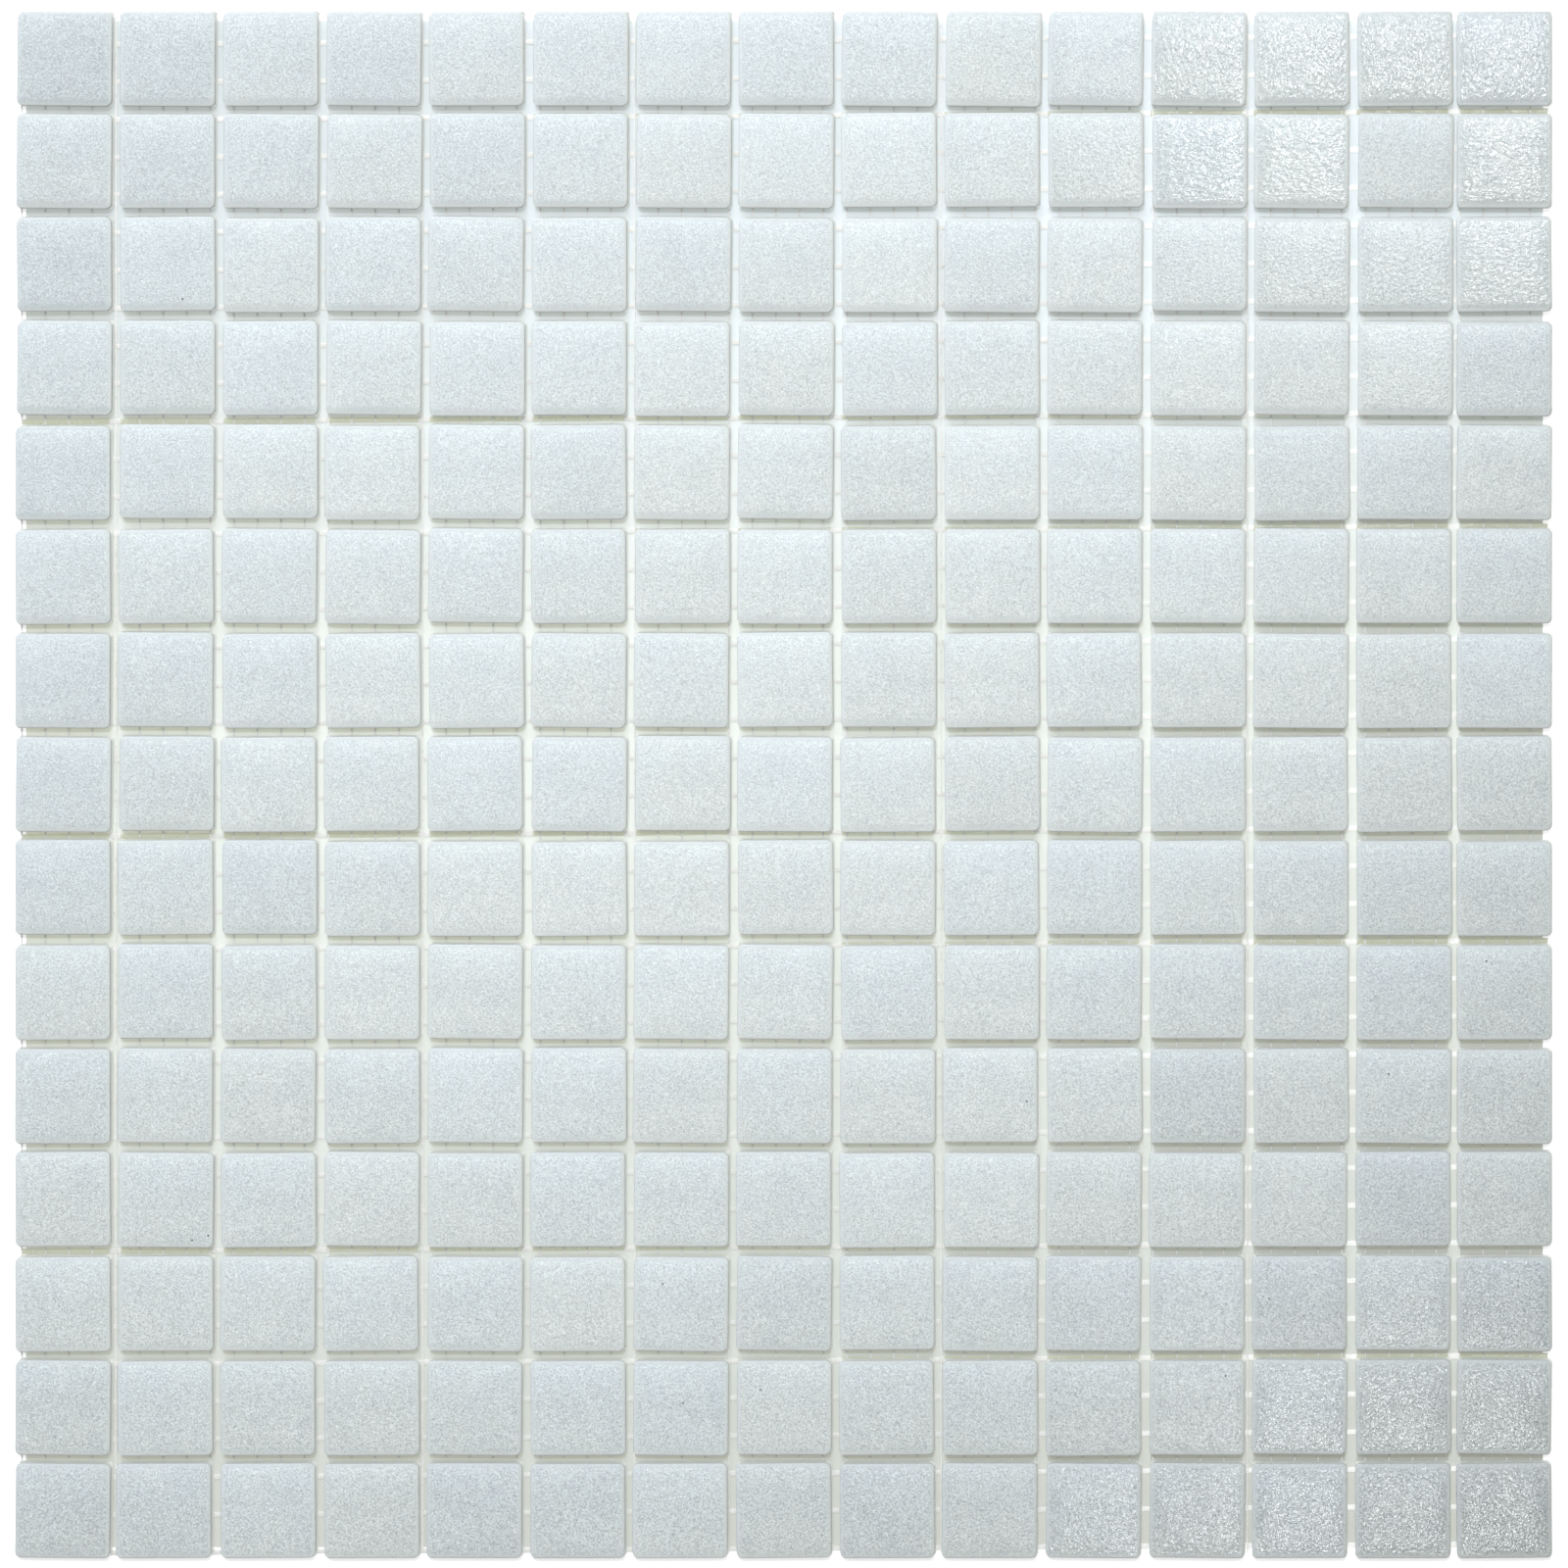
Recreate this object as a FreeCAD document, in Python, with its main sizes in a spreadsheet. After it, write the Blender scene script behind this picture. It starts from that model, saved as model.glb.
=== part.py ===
import FreeCAD, Part
import os
import Sketcher
from FreeCAD import Vector

# A mosaic sheet: square pressed glass tiles in rows, glued by their backs to a net of yarns.
# The sheet lies flat with its face up. +X runs along a row, +Y from row to row, +Z out of the face.
# The origin is the centre of the underside. Every size is in millimetres, the draft in degrees.

SIZES = {
    "tile_side": 20.0,
    "tile_thickness": 4.0,
    "corner_cut": 0.9,
    "arris": 0.7,
    "wall_draft": 3.0,
    "recess_rim": 2.4,
    "recess_depth": 0.5,
    "tiles_across": 15,
    "tiles_along": 15,
    "joint_across": 1.85,
    "joint_along": 2.0,
    "mesh_setback": 1.0,
    "weft_width": 1.2,
    "weft_thickness": 0.25,
    "weft_pitch": 8.0,
    "weft_margin": 5.6,
    "warp_width": 0.35,
    "warp_thickness": 0.25,
    "warp_pitch": 5.0,
    "warp_margin": 1.0,
}

# Lengths that several pieces share, as expressions in those sizes
ACROSS_PITCH = "(Sizes.tile_side + Sizes.joint_across)"
ALONG_PITCH = "(Sizes.tile_side + Sizes.joint_along)"
SHEET_WIDTH = f"(Sizes.tiles_across * {ACROSS_PITCH} - Sizes.joint_across)"
SHEET_LENGTH = f"(Sizes.tiles_along * {ALONG_PITCH} - Sizes.joint_along)"
MESH_THICKNESS = "(Sizes.weft_thickness + Sizes.warp_thickness)"

# How a sketch numbers a line's two ends and its own origin
START, END = 1, 2
ORIGIN = (-1, 1)

# Two heights closer than this are the same
LEVEL = 1e-4

document = FreeCAD.newDocument("mosaic_sheet")


def size_sheet():
    """The driving dimensions, one named cell each."""
    sheet = document.addObject("Spreadsheet::Sheet", "Sizes")
    for row, (name, value) in enumerate(SIZES.items(), start=1):
        sheet.set(f"A{row}", name)
        sheet.set(f"B{row}", str(value))
        sheet.setAlias(f"B{row}", name)
    document.recompute()
    return sheet


def origin_feature(body, role):
    """The body's own origin plane or axis with that role."""
    return next(item for item in body.Origin.OriginFeatures if item.Role == role)


def closed_sketch(body, name, corners, height="0"):
    """A closed outline of straight lines, in a plane parallel to XY at the given height."""
    sketch = body.newObject("Sketcher::SketchObject", name)
    sketch.AttachmentSupport = [(origin_feature(body, "XY_Plane"), "")]
    sketch.MapMode = "FlatFace"
    sketch.setExpression("AttachmentOffset.Base.z", height)
    points = [Vector(x, y, 0) for x, y in corners]
    for start, end in zip(points, points[1:] + points[:1]):
        sketch.addGeometry(Part.LineSegment(start, end))
    for side in range(len(points)):
        following = (side + 1) % len(points)
        sketch.addConstraint(Sketcher.Constraint("Coincident", side, END, following, START))
    return sketch


def dimension(sketch, label, size, kind, *ends):
    """A named dimension whose value is an expression."""
    index = sketch.addConstraint(Sketcher.Constraint(kind, *ends, 1.0))
    sketch.renameConstraint(index, label)
    sketch.setExpression(f"Constraints.{label}", size)


def rectangle(body, name, width, length, height="0"):
    """A rectangle centred on the body's origin."""
    sketch = closed_sketch(body, name, [(-1, -1), (1, -1), (1, 1), (-1, 1)], height)
    for side in (0, 2):
        sketch.addConstraint(Sketcher.Constraint("Horizontal", side))
        sketch.addConstraint(Sketcher.Constraint("Vertical", side + 1))
    sketch.addConstraint(Sketcher.Constraint("Symmetric", 0, START, 2, START, *ORIGIN))
    dimension(sketch, "width", width, "DistanceX", 0, START, 0, END)
    dimension(sketch, "length", length, "DistanceY", 1, START, 1, END)
    return sketch


def edges_where(feature, test):
    """Names of the feature's edges whose lowest and highest points pass a test."""
    names = []
    for index, edge in enumerate(feature.Shape.Edges, start=1):
        if test(edge.BoundBox.ZMin, edge.BoundBox.ZMax):
            names.append(f"Edge{index}")
    return names


def chamfer(body, name, feature, edges, size):
    """Cuts those edges of the feature back by the same distance on both faces."""
    cut = body.newObject("PartDesign::Chamfer", name)
    cut.Base = (feature, edges)
    cut.setExpression("Size", size)
    document.recompute()
    return cut


def repeat(body, axis, pitch, count, backwards=False):
    """The whole body so far, copied along one of its axes as pieces that don't touch."""
    document.recompute()
    pattern = body.newObject("PartDesign::LinearPattern", "pattern")
    pattern.TransformMode = "Whole shape"
    pattern.Direction = (origin_feature(body, axis), [""])
    pattern.Reversed = backwards
    pattern.Mode = "Spacing"
    pattern.setExpression("Offset", pitch)
    pattern.setExpression("Occurrences", count)
    body.Tip = pattern


def glass_tile(body):
    """One pressed tile with its face at z = 0: drafted walls, cut corners and arris, recessed back."""
    slab = body.newObject("PartDesign::Pad", "slab")
    slab.Profile = rectangle(body, "face_outline", "Sizes.tile_side", "Sizes.tile_side")
    slab.Reversed = True
    slab.setExpression("Length", "Sizes.tile_thickness")
    slab.setExpression("TaperAngle", "-Sizes.wall_draft")
    document.recompute()

    upright = edges_where(slab, lambda low, high: high - low > LEVEL)
    corners = chamfer(body, "corner_cuts", slab, upright, "Sizes.corner_cut")
    face_loop = edges_where(corners, lambda low, high: low > -LEVEL)
    arris = chamfer(body, "arris", corners, face_loop, "Sizes.arris")

    recess_side = "Sizes.tile_side - 2 * Sizes.recess_rim"
    recess = body.newObject("PartDesign::Pocket", "keying_recess")
    recess.Profile = rectangle(body, "recess_outline", recess_side, recess_side, "-Sizes.tile_thickness")
    recess.Reversed = True
    recess.setExpression("Length", "Sizes.recess_depth")
    document.recompute()
    if not recess.Shape.Volume < arris.Shape.Volume:
        raise RuntimeError(f"{body.Label}: the recess cut nothing")


def tile_row(number):
    """One row of tiles. The rows are numbered from the +Y end of the sheet."""
    body = document.addObject("PartDesign::Body", f"TileRow{number}")
    body.Label = f"tile_row_{number:02d}"
    glass_tile(body)
    repeat(body, "X_Axis", ACROSS_PITCH, "Sizes.tiles_across")
    body.setExpression("Placement.Base.x", f"-(Sizes.tiles_across - 1) / 2 * {ACROSS_PITCH}")
    body.setExpression("Placement.Base.y", f"((Sizes.tiles_along + 1) / 2 - {number}) * {ALONG_PITCH}")
    body.setExpression("Placement.Base.z", f"{MESH_THICKNESS} + Sizes.tile_thickness")
    return body


def yarn(body, width, length, thickness):
    """One flat yarn of the net, its underside at z = 0."""
    flat = body.newObject("PartDesign::Pad", "yarn")
    flat.Profile = rectangle(body, "yarn_outline", width, length)
    flat.setExpression("Length", thickness)


def mesh_wefts():
    """The broad flat yarns of the net, which run along the rows and lie lowest."""
    body = document.addObject("PartDesign::Body", "MeshWefts")
    body.Label = "mesh_wefts"
    yarn(body, f"{SHEET_WIDTH} - 2 * Sizes.mesh_setback", "Sizes.weft_width", "Sizes.weft_thickness")
    room = f"({SHEET_LENGTH} - Sizes.weft_margin - Sizes.mesh_setback - Sizes.weft_width)"
    repeat(body, "Y_Axis", "Sizes.weft_pitch", f"floor({room} / Sizes.weft_pitch) + 1", backwards=True)
    first = f"{SHEET_LENGTH} / 2 - Sizes.weft_margin - Sizes.weft_width / 2"
    body.setExpression("Placement.Base.y", first)
    return body


def mesh_warps():
    """The thin yarns of the net, which cross over the wefts and carry the backs of the tiles."""
    body = document.addObject("PartDesign::Body", "MeshWarps")
    body.Label = "mesh_warps"
    yarn(body, "Sizes.warp_width", f"{SHEET_LENGTH} - 2 * Sizes.mesh_setback", "Sizes.warp_thickness")
    room = f"({SHEET_WIDTH} - Sizes.warp_margin - Sizes.mesh_setback - Sizes.warp_width)"
    repeat(body, "X_Axis", "Sizes.warp_pitch", f"floor({room} / Sizes.warp_pitch) + 1")
    first = f"-{SHEET_WIDTH} / 2 + Sizes.warp_margin + Sizes.warp_width / 2"
    body.setExpression("Placement.Base.x", first)
    body.setExpression("Placement.Base.z", "Sizes.weft_thickness")
    return body


def check(pieces):
    """Stop if any feature failed to recompute, or a piece is empty or broken."""
    for item in document.Objects:
        if "Invalid" in item.State or "Error" in item.State:
            raise RuntimeError(f"{item.Name} did not recompute: {item.State}")
    for piece in pieces:
        if piece.Shape.isNull() or not piece.Shape.isValid():
            raise RuntimeError(f"{piece.Label} has no valid shape")


def write(pieces):
    """One STEP file for each piece, named by its label."""
    os.makedirs("parts", exist_ok=True)
    for piece in pieces:
        piece.Shape.exportStep(f"parts/{piece.Label}.step")


sizes = size_sheet()
rows = [tile_row(number) for number in range(1, int(sizes.tiles_along) + 1)]
pieces = rows + [mesh_wefts(), mesh_warps()]
document.recompute()
check(pieces)
write(pieces)
for piece in pieces:
    print(f"{piece.Label}: {len(piece.Shape.Solids)} solids, {piece.Shape.Volume:.1f} mm3")
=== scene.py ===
import math

import bpy
import numpy as np
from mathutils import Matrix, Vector


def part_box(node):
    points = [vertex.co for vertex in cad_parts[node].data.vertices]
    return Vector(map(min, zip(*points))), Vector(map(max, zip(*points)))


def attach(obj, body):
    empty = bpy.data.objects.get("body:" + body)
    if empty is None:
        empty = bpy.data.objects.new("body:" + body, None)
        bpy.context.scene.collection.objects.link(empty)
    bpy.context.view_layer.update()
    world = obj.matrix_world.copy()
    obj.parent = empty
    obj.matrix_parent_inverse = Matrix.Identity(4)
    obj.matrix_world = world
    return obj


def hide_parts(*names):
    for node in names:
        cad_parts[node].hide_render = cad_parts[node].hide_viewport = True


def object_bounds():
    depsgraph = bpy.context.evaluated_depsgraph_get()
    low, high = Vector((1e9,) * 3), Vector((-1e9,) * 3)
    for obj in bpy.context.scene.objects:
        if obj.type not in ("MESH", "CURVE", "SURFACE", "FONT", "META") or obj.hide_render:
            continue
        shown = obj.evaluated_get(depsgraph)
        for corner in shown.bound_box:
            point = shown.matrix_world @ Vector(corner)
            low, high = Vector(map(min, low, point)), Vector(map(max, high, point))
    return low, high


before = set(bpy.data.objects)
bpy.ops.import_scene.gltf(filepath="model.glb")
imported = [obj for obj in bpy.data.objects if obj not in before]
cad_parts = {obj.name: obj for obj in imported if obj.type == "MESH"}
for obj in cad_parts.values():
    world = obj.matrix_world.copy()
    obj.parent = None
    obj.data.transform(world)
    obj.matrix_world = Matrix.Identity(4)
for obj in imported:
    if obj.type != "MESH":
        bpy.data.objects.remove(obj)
cad_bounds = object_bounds()

# A mosaic sheet, seen from straight above: pressed glass tiles in rows on a net of yarns.
# +X is to the right in the photograph, +Y is up in it, and +Z comes out of the faces.
# Every length is in metres.
MM = 0.001

# The grid of tiles. Row 1 is at the top of the photograph, column 1 at its left.
ROWS = 15
COLUMNS = 15
COLUMN_PITCH = 21.85 * MM
ROW_PITCH = 22.0 * MM

# How a tile departs from a plain square slab. Its +X and +Y walls stand out at the foot by WALL_FLARE,
# because the photograph looks at those walls at a slant.
CORNER_RADIUS = 1.15 * MM
ARRIS_WIDTH = 0.40 * MM
ARRIS_DROP = 0.20 * MM
ARRIS_STEPS = 6
ARRIS_START = math.radians(8)
ARRIS_END = math.radians(46)
ARRIS_LEAN = (-0.24 * MM, -0.25 * MM)
ARRIS_CORNER_LOSS = 0.45
CROWN = 0.26 * MM
CROWN_POWER = 5
FACE_ROOM = 0.09 * MM
WALL_DRAFT = math.radians(3)
WALL_STEPS = 3
WALL_FLARE = 0.62 * MM
BACK_EDGE = 0.25 * MM
RECESS_RIM = 2.4 * MM
RECESS_DEPTH = 0.5 * MM
RIB_HEIGHT = 0.25 * MM
SIDE_ROOM = 0.02 * MM
RIGHT_FULLNESS = 0.22 * MM
LOWER_FULLNESS = 0.15 * MM

# The rim of the skin fades out from one of these distances inside the edge, over the other
RIM_WIDTH = 0.35 * MM
RIM_FADE = 0.9 * MM

# How fine a tile's mesh is: cells in each rounded corner and along the straight part of a side
CORNER_CELLS = 3
STRAIGHT_CELLS = 14

# Edges that turn past these angles, in degrees, are sharp
SHARP_ANGLE = 50
TILE_SHARP_ANGLE = 27

# How much tiles differ, as the largest departure either way
PLACE_SPREAD = 0.2 * MM
COLUMN_LEAN = 0.002
TURN_SPREAD = math.radians(0.7)
TILT_SPREAD = math.radians(0.2)
SIDE_SPREAD = 0.06 * MM
CORNER_SPREAD = 0.2 * MM
WALL_SPREAD = 0.05 * MM
WAVES = 4
WAVE_HEIGHT = 0.011 * MM
WAVE_LENGTHS = (4.0 * MM, 11.0 * MM)

# How the tiles' tone runs across the sheet, for a place from -1 to 1 in x and y, which is painted shade of
# the light's falloff, and how it differs at random
SHADE_TREND_X = -1.9
SHADE_TREND_Y = 0.8
SHADE_TREND_X2 = -6.0
SHADE_TREND_Y2 = -5.4
SHADE_TREND_XY = 2.6
SHADE_TREND_CORNER = -2.2
SHADE_CORNER_START = 0.9
TONE_SPREAD = 0.75

# The tiles that are greyer than their neighbours, by row and column, and by how much
GREYER_TILES = {(5, 6), (6, 6), (9, 3), (11, 12)}
GREYER_TONE = 2.0

# The tiles whose skin is shinier than their neighbours', and the least shine they have
SHINY_TILES = {(1, 12), (1, 13), (1, 14), (1, 15), (2, 12), (2, 13), (2, 15), (3, 15)}
SHINY_START = 0.55
SHINE_SPREAD = 0.15

# The tiles that stay duller than their shiny neighbours, and their share of the shine
DULL_TILES = {(2, 14)}
DULL_SHARE = 0.45

# The parts of the sheet whose tiles are shinier: centre, reach in x and y, and how much
SHINY_PATCHES = [
    (140 * MM, 155 * MM, 85 * MM, 75 * MM, 0.65),
    (130 * MM, -165 * MM, 95 * MM, 75 * MM, 0.70),
]

# What a tile's mesh tells its material at each point: how near its rim, its tone with painted shade, its
# tint and shine, and how far up and to the right of the tile's middle, from -1 to 1
TILE_VALUES = ("rim", "tone", "tint", "shine", "rise", "side")

# Dark specks in the skin of a few tiles, by their places on the sheet in millimetres
SPECKS = [
    (102.6, -108.9), (51.3, -67.2), (-25.8, -105.8), (-21.5, -131.1), (127.9, -61.4), (-127.4, 102.7),
    (148.6, -37.5), (93.4, -125.3), (-5.1, -128.2), (-122.0, -95.6), (-125.4, -96.6),
]
SPECK_RADIUS = 0.26 * MM

# The net's two layers. Yarns run along axis 0 or 1, in steps of that length, with a section of that many
# sides, and each ends that much to the side of where it would if it ran square.
WEFTS = {
    "node": "mesh_wefts", "width": 1.2 * MM, "pitch": 8.0 * MM, "step": 4.0 * MM,
    "sides": 8, "along": 0, "skew": 1.0 * MM,
}
WARPS = {
    "node": "mesh_warps", "width": 0.35 * MM, "pitch": 5.0 * MM, "step": 2.5 * MM,
    "sides": 6, "along": 1, "skew": 0.0,
}

# How flat a yarn's round section is, and the largest share that its width and thickness lose
YARN_FLATNESS = 0.6
YARN_WIDTH_LOSS = 0.16
YARN_THICKNESS_LOSS = 0.12

# The camera is straight above the sheet. Its frame spans this much at the level of the faces.
CAMERA_HEIGHT = 1.9
FRAME_SPAN = 331.9 * MM
CAMERA_OFFSET = -0.1 * MM
SENSOR_WIDTH = 36.0
CLIP_START = 0.01

# The floor lies this far below the yarns, and reaches this far
FLOOR_GAP = 0.02 * MM
FLOOR_REACH = 6.0

# Light: the world's dome, then each lamp's place, size, power in watts, and what it adds to
DOME_STRENGTH = 0.33
LAMPS = {
    "low_key": ((-0.20, 1.00, 0.42), 0.45, 4.0, "both"),
    "middle_key": ((-0.32, 0.94, 1.13), 1.10, 10.5, "both"),
    "high_key": ((-0.22, 0.82, 3.95), 0.35, 53.5, "diffuse"),
    "glint": ((0.245, 0.285, 1.20), 0.17, 1.6, "glossy"),
    "far_glint": ((0.200, -0.28, 1.20), 0.14, 0.85, "glossy"),
}

SEED = 7


def smooth_step(value):
    """0 below 0, 1 above 1, and a smooth rise between."""
    share = np.clip(value, 0, 1)
    return share * share * (3 - 2 * share)


def grid_lines(half, corner):
    """Where the lines of a tile's grid lie across a square: closer together inside its corners."""
    near = np.linspace(0, corner, CORNER_CELLS + 1)[:-1]
    straight = np.linspace(corner - half, half - corner, STRAIGHT_CELLS + 1)
    return np.concatenate([near - half, straight, (half - near)[::-1]])


def rounded_grid(half, corner):
    """x and y of a square grid whose four corners are bent into arcs of that radius."""
    lines = grid_lines(half, corner)
    x, y = np.meshgrid(lines, lines)
    past_x = np.clip(np.abs(x) - half + corner, 0, None) / corner
    past_y = np.clip(np.abs(y) - half + corner, 0, None) / corner
    reach = np.maximum(past_x, past_y)
    turn = math.pi / 4 * np.minimum(past_x, past_y) / np.where(reach > 0, reach, 1)
    longer, shorter = reach * np.cos(turn), reach * np.sin(turn)
    bent_x = np.where(past_x >= past_y, longer, shorter)
    bent_y = np.where(past_x >= past_y, shorter, longer)
    cornered = (past_x > 0) & (past_y > 0)
    x = np.where(cornered, np.sign(x) * (half - corner + corner * bent_x), x)
    y = np.where(cornered, np.sign(y) * (half - corner + corner * bent_y), y)
    return x, y


def grid_index(cells):
    """The indices of a square grid's points."""
    return np.arange((cells + 1) ** 2).reshape(cells + 1, cells + 1)


def rim_of_grid(cells):
    """Indices of a grid's outer points, anticlockwise from above."""
    index = grid_index(cells)
    return np.concatenate([index[0, :-1], index[:-1, -1], index[-1, :0:-1], index[:0:-1, 0]])


def tile_faces():
    """The quads that join one tile's points: face grid, rings of the arris and wall, back grid."""
    cells = 2 * CORNER_CELLS + STRAIGHT_CELLS
    index = grid_index(cells)
    rim = rim_of_grid(cells)
    top = np.stack([index[:-1, :-1], index[:-1, 1:], index[1:, 1:], index[1:, :-1]], -1).reshape(-1, 4)
    rings = [rim]
    first = index.size
    for _ in range(ARRIS_STEPS + WALL_STEPS):
        rings.append(first + np.arange(rim.size))
        first += rim.size
    rings.append(first + rim)
    quads = [top]
    for upper, lower in zip(rings, rings[1:]):
        quads.append(np.stack([upper, lower, np.roll(lower, -1), np.roll(upper, -1)], -1))
    quads.append(first + top[:, ::-1])
    return np.concatenate(quads)


def face_relief(x, y, half, random):
    """How far the face lies below its highest level: crowned to its edges, and faintly wavy."""
    inner_x = 1 - np.abs(x / half) ** CROWN_POWER
    inner_y = 1 - np.abs(y / half) ** CROWN_POWER
    relief = CROWN * (1 - np.clip(inner_x, 0, 1) * np.clip(inner_y, 0, 1))
    for _ in range(WAVES):
        heading = random.uniform(0, math.tau)
        length = random.uniform(*WAVE_LENGTHS)
        start = random.uniform(0, math.tau)
        across = x * math.cos(heading) + y * math.sin(heading)
        relief = relief + WAVE_HEIGHT * np.sin(across * math.tau / length + start) / WAVES ** 0.5
    return relief


def arris_profile():
    """How far in from the tile's side, and how far below the face's edge, each step of the arris is."""
    angles = np.linspace(ARRIS_START, ARRIS_END, ARRIS_STEPS + 1)
    insets = ARRIS_WIDTH * (1 - np.sin(angles) / math.sin(ARRIS_END))
    insets *= ARRIS_WIDTH / insets[0]
    drops = math.cos(ARRIS_START) - np.cos(angles)
    drops *= ARRIS_DROP / drops[-1]
    return insets, drops


def tile_points(half, corner, back_z, face_z, random):
    """One tile's points about its own centre, and how far each is towards its rim, from 0 to 1."""
    rim = rim_of_grid(2 * CORNER_CELLS + STRAIGHT_CELLS)
    tilt_x, tilt_y = random.uniform(-TILT_SPREAD, TILT_SPREAD, 2)
    top_z = face_z - FACE_ROOM

    def outline(inset):
        """The grid whose edge lies that far inside the tile's widest outline."""
        inner_corner = corner * (1 - ARRIS_CORNER_LOSS * min(inset / ARRIS_WIDTH, 1))
        return rounded_grid(half - inset, inner_corner)

    def arris_outline(inset):
        """The same, leaning as the arris does: narrower at one side of the tile than at the other."""
        x, y = outline(inset)
        return x + ARRIS_LEAN[0] * inset / ARRIS_WIDTH, y + ARRIS_LEAN[1] * inset / ARRIS_WIDTH

    def flared(x, y, share):
        """The outline spread towards +X and +Y, where the foot of the wall stands out."""
        flare = share * WALL_FLARE
        return x + flare * np.clip(x / half, 0, 1), y + flare * np.clip(y / half, 0, 1)

    insets, drops = arris_profile()
    x, y = arris_outline(insets[0])
    z = top_z - face_relief(x, y, half, random) + x * tilt_x + y * tilt_y
    edge_z = z.ravel()[rim]
    layers = [np.stack([x, y, z], -1).reshape(-1, 3)]

    for inset, drop in zip(insets[1:], drops[1:]):
        x, y = (part.ravel()[rim] for part in arris_outline(inset))
        layers.append(np.stack([x, y, edge_z - drop], -1))
    wall_top = edge_z - drops[-1]
    wall_height = wall_top.mean() - back_z - BACK_EDGE
    for step in range(1, WALL_STEPS + 1):
        share = step / WALL_STEPS
        inset = share * wall_height * math.tan(WALL_DRAFT)
        x, y = (part.ravel()[rim] for part in flared(*outline(inset), share))
        rough = 1 - random.uniform(0, WALL_SPREAD, x.size) / half
        z = wall_top + share * (back_z + BACK_EDGE - wall_top)
        layers.append(np.stack([x * rough, y * rough, z], -1))

    x, y = flared(*outline(wall_height * math.tan(WALL_DRAFT) + BACK_EDGE), 1.0)
    deep = np.maximum(np.abs(x), np.abs(y)) < half - RECESS_RIM
    rib = (np.arange(x.shape[1]) % 2 == 0)[None, :]
    z = back_z + deep * (RECESS_DEPTH - RIB_HEIGHT * rib)
    layers.append(np.stack([x, y, z], -1).reshape(-1, 3))

    points = np.concatenate(layers)
    inside = half - np.abs(points[:, :2]).max(1)
    return points, 1 - smooth_step((inside - RIM_WIDTH) / RIM_FADE)


def mesh_object(name, points, quads, sharp=SHARP_ANGLE):
    """A smooth-shaded object made of those points and quads, with edges that turn past that angle sharp."""
    mesh = bpy.data.meshes.new(name)
    mesh.from_pydata(points.tolist(), [], quads.tolist())
    mesh.polygons.foreach_set("use_smooth", np.ones(len(mesh.polygons), dtype=bool))
    mesh.set_sharp_from_angle(angle=math.radians(sharp))
    piece = bpy.data.objects.new(name, mesh)
    bpy.context.scene.collection.objects.link(piece)
    return piece


def point_values(piece, name, values):
    """A number for each point, which the piece's material reads by that name."""
    carried = piece.data.attributes.new(name, "FLOAT", "POINT")
    carried.data.foreach_set("value", np.asarray(values, dtype=np.float32))


def tile_place(tile, centre_x, centre_y, random):
    """A tile's x and y on the sheet: turned and shifted a little, and kept inside the sheet's box."""
    room_low, room_high = cad_bounds
    turn = random.uniform(-TURN_SPREAD, TURN_SPREAD)
    x = tile[:, 0] * math.cos(turn) - tile[:, 1] * math.sin(turn)
    y = tile[:, 0] * math.sin(turn) + tile[:, 1] * math.cos(turn)
    shift_x, shift_y = random.uniform(-PLACE_SPREAD, PLACE_SPREAD, 2)
    shift_x += COLUMN_LEAN * centre_y
    x += centre_x + shift_x
    y += centre_y + shift_y
    x += max(room_low.x - x.min(), 0) - max(x.max() - room_high.x, 0)
    y += max(room_low.y - y.min(), 0) - max(y.max() - room_high.y, 0)
    return x, y


def tile_tone_and_shade(number, column, x, y, random):
    """How much paler or darker than the rest a tile is: by its place, which is painted shade of the light's
    falloff, by itself and at random.
    """
    far_x, far_y = x / cad_bounds[1].x, y / cad_bounds[1].y
    grey = GREYER_TONE if (number, column) in GREYER_TILES else 0.0
    # Painted shade: darker towards the sheet's sides, top, bottom and lower right corner, where the light
    # falls off
    painted_falloff = SHADE_TREND_X * far_x + SHADE_TREND_X2 * far_x ** 2 + SHADE_TREND_XY * far_x * far_y
    corner = SHADE_TREND_CORNER * max(far_x - far_y - SHADE_CORNER_START, 0)
    painted_falloff += SHADE_TREND_Y * far_y + SHADE_TREND_Y2 * far_y ** 2 + corner
    return random.normal(0, TONE_SPREAD) - grey + painted_falloff


def tile_shine(number, column, x, y, random):
    """How shiny a tile is, from 0 to 1."""
    shine = SHINY_START if (number, column) in SHINY_TILES else 0.0
    for centre_x, centre_y, reach_x, reach_y, strength in SHINY_PATCHES:
        away = math.hypot((x - centre_x) / reach_x, (y - centre_y) / reach_y)
        shine += strength * math.exp(-away ** 2)
    shine *= DULL_SHARE if (number, column) in DULL_TILES else 1.0
    return min(shine + random.uniform(0, SHINE_SPREAD), 1)


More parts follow.
